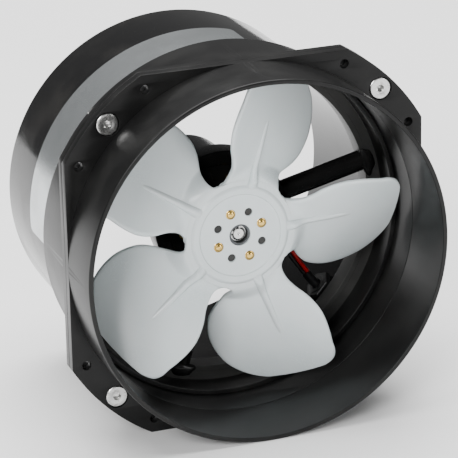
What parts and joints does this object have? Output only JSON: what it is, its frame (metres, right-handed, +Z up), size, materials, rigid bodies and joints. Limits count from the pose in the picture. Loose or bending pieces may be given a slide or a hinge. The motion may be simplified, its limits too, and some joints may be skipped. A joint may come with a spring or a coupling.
{
  "type": "inline duct fan",
  "caption": "Axial inline duct fan: bolted flanged housing with an open front spigot, moulded bladed impeller, strut-mounted motor and a plain duct tube behind.",
  "frame": {"origin": "on the ground under the middle of the fan's length, where the flanges' bottom edges rest", "axes": "+Y along the fan's axis from the open inlet to the rear duct tube, +Z up, +X to the right seen from the inlet"},
  "size_m": [0.2, 0.1634, 0.2],
  "materials": {
    "housing": "turned black, satin with fine tool lines",
    "tube": "black lacquer, glossy",
    "label": "satin silver film, blank",
    "gloss_black": "glossy black enamel",
    "bright_steel": "turned, bright zinc",
    "dark_steel": "blackened",
    "nylon": "natural translucent nylon, smooth",
    "brass": "yellow passivated",
    "copper": "copper",
    "carbon": "carbon",
    "magnet": "ferrite",
    "black_plastic": "moulded nylon",
    "red_insulation": "smooth red insulation",
    "black_insulation": "smooth black insulation"
  },
  "bodies": {
    "housing": {"brush_1": "carbon", "brush_2": "carbon", "brush_holder": "black_plastic", "brush_spring_1": "bright_steel", "brush_spring_2": "bright_steel", "cable_gland_body": "black_plastic", "cable_gland_cap": "black_plastic", "cable_gland_locknut": "black_plastic", "duct_tube": "tube", "flange_nut_1": "bright_steel", "flange_nut_2": "bright_steel", "flange_nut_3": "bright_steel", "flange_nut_4": "bright_steel", "flange_screw_1": "bright_steel", "flange_screw_2": "bright_steel", "flange_screw_3": "bright_steel", "flange_screw_4": "bright_steel", "flange_washer_1": "bright_steel", "flange_washer_2": "bright_steel", "flange_washer_3": "bright_steel", "flange_washer_4": "bright_steel", "front_bearing": "bright_steel", "front_housing": "housing", "lead_black": "black_insulation", "lead_grommet": "black_insulation", "lead_red": "red_insulation", "lead_sleeve": "black_insulation", "magnet_1": "magnet", "magnet_2": "magnet", "motor_can": "gloss_black", "motor_front_cap": "dark_steel", "motor_holder": "gloss_black", "motor_mount_ring": "housing", "motor_screw_1": "brass", "motor_screw_2": "brass", "motor_screw_3": "brass", "mount_strut_1": "gloss_black", "mount_strut_2": "gloss_black", "mount_strut_3": "gloss_black", "rating_label": "label", "rear_bearing": "bright_steel", "rear_housing": "housing"},
    "rotor": {"impeller": "nylon", "hub_carrier": "dark_steel", "retaining_washer": "bright_steel", "motor_shaft": "bright_steel", "armature_core": "dark_steel", "winding_front": "copper", "winding_rear": "copper", "commutator": "copper", "hub_rivet_1": "brass", "hub_rivet_2": "brass", "hub_rivet_3": "brass", "hub_rivet_4": "brass"}
  },
  "joints": [
    {"name": "impeller_spin", "type": "hinge", "parent": "housing", "child": "rotor", "pos_m": [0, 0, 0.1], "axis": [0, 1, 0], "continuous": true}
  ]
}
